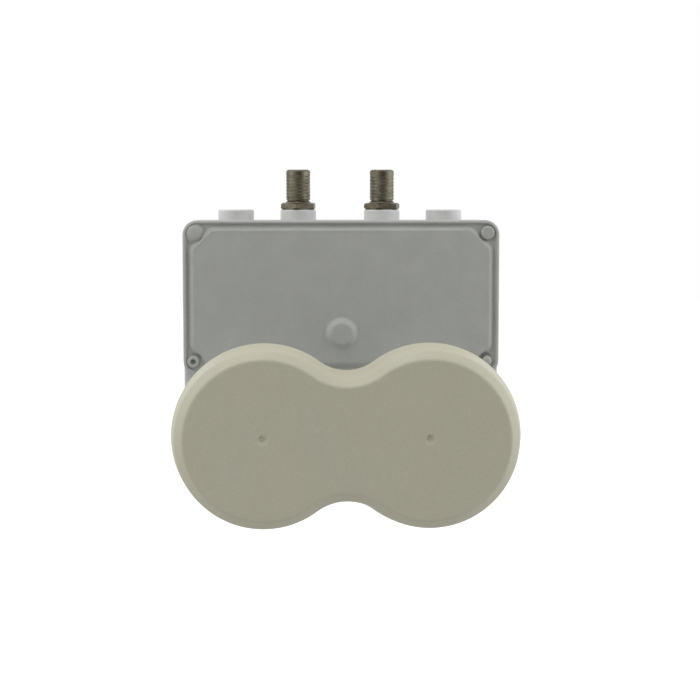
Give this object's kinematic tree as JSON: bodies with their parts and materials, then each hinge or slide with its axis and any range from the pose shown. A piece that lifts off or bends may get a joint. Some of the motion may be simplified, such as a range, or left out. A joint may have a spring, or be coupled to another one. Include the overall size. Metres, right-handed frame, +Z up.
{
  "type": "satellite lnb",
  "caption": "Twin-feed satellite LNB: die-cast box with two waveguide necks and horns under a figure-eight weather cap, relief-cast lid and threaded F outputs.",
  "frame": {"origin": "midway between the two feed necks, at the middle of their clamp length", "axes": "+X across the feeds, +Y from the cap towards the rear cover along the feed axes, +Z up along the connectors"},
  "size_m": [0.1288, 0.0906, 0.1323],
  "materials": {
    "cast_alloy": "light grey coated die-cast aluminium, matt",
    "lid_paint": "mid-grey coated die-cast aluminium, matt",
    "bare_alloy": "bare die-cast aluminium",
    "cap_plastic": "warm grey moulded plastic, fine texture",
    "seal_rubber": "black silicone rubber",
    "painted_screw": "steel screw coated with the lid",
    "zinc_steel": "zinc-plated steel",
    "brass": "turned brass",
    "nickel_brass": "nickel-plated brass",
    "gold_copper": "gold-plated copper alloy",
    "board": "green board laminate",
    "chip_black": "black moulded chip package",
    "capacitor_can": "aluminium can",
    "puck_ceramic": "sintered ceramic",
    "white_insulator": "white fluoropolymer"
  },
  "bodies": {
    "root": {"chassis": "cast_alloy", "neck_left": "cast_alloy", "neck_right": "cast_alloy", "horn_pair": "cast_alloy", "front_lid": "lid_paint", "front_lid_gasket": "seal_rubber", "front_lid_screws": "painted_screw", "rear_cover": "cast_alloy", "rear_cover_gasket": "seal_rubber", "rear_cover_screws": "zinc_steel", "feed_cap": "cap_plastic", "cap_seal": "seal_rubber", "f_connector_left": "nickel_brass", "f_connector_right": "nickel_brass", "f_insulator_left": "white_insulator", "f_insulator_right": "white_insulator", "f_contact_left": "gold_copper", "f_contact_right": "gold_copper", "f_sealing_ring_left": "seal_rubber", "f_sealing_ring_right": "seal_rubber", "switch_board": "board", "switch_board_screws": "zinc_steel", "switch_chips": "chip_black", "voltage_regulators": "chip_black", "smoothing_capacitors": "capacitor_can", "rf_board": "board", "waveguide_probes": "gold_copper", "amplifier_transistors": "chip_black", "oscillator_pucks": "puck_ceramic", "shield_plate": "bare_alloy", "shield_screws": "zinc_steel", "tuning_screws": "brass", "link_pins": "gold_copper", "link_pin_beads": "white_insulator"}
  },
  "joints": []
}
